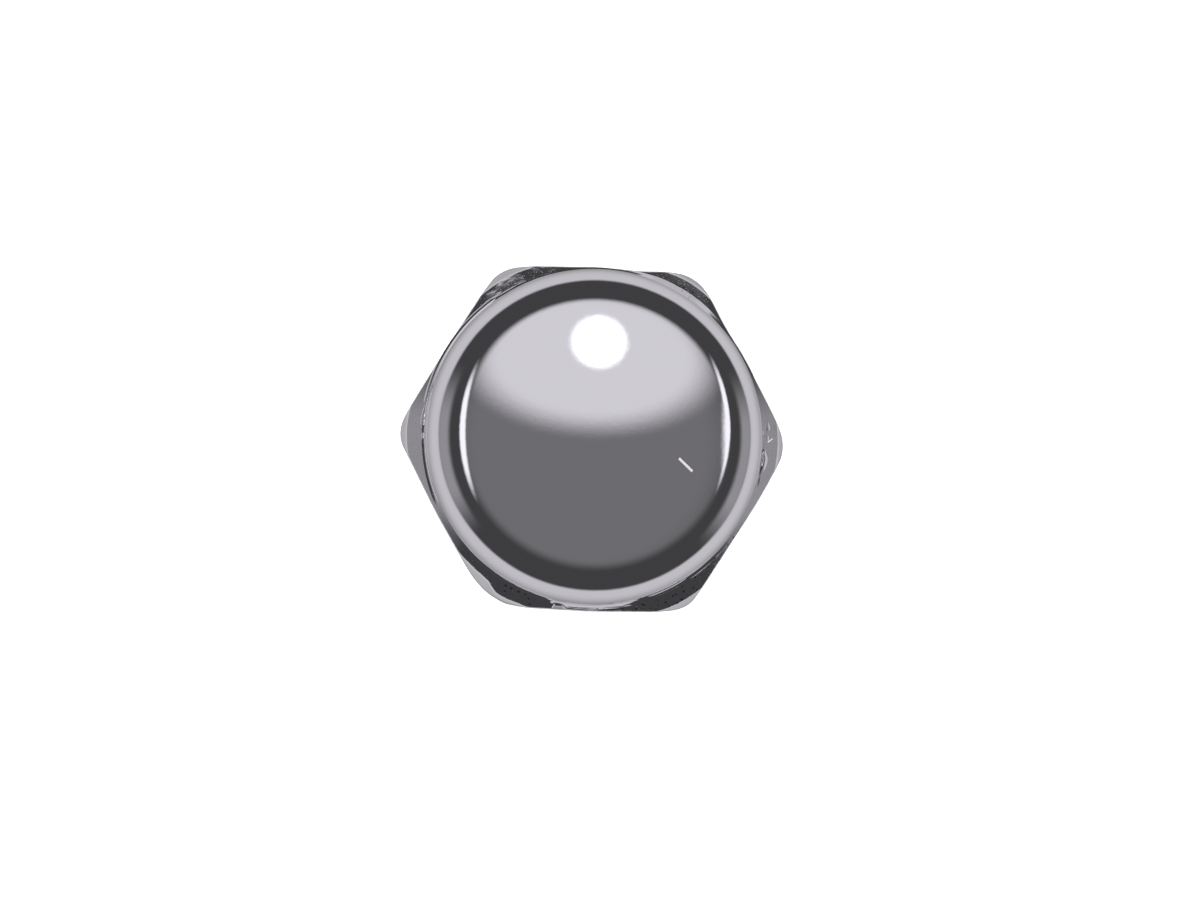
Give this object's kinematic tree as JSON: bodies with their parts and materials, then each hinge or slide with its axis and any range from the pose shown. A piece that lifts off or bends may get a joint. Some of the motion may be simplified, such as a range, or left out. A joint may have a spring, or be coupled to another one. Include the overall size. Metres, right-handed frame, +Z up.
{
  "type": "lug nut",
  "caption": "Closed-end wheel nut: hexagonal body with a flattened dome at one end and a conical seat round a blind threaded bore at the other.",
  "frame": {"origin": "centre of the flat ring round the bore's mouth, at the open end the nut stands on", "axes": "+Z up the thread's axis, from the open end to the dome; two of the six wrench flats face +Y and -Y, and two of the upright edges are at +X and -X"},
  "size_m": [0.0214, 0.019, 0.035],
  "materials": {
    "chrome_plate": "bright chrome plate over forged steel, mirror smooth on the dome and pitted on the forged chamfer"
  },
  "bodies": {
    "root": {"lug_nut": "chrome_plate"}
  },
  "joints": []
}
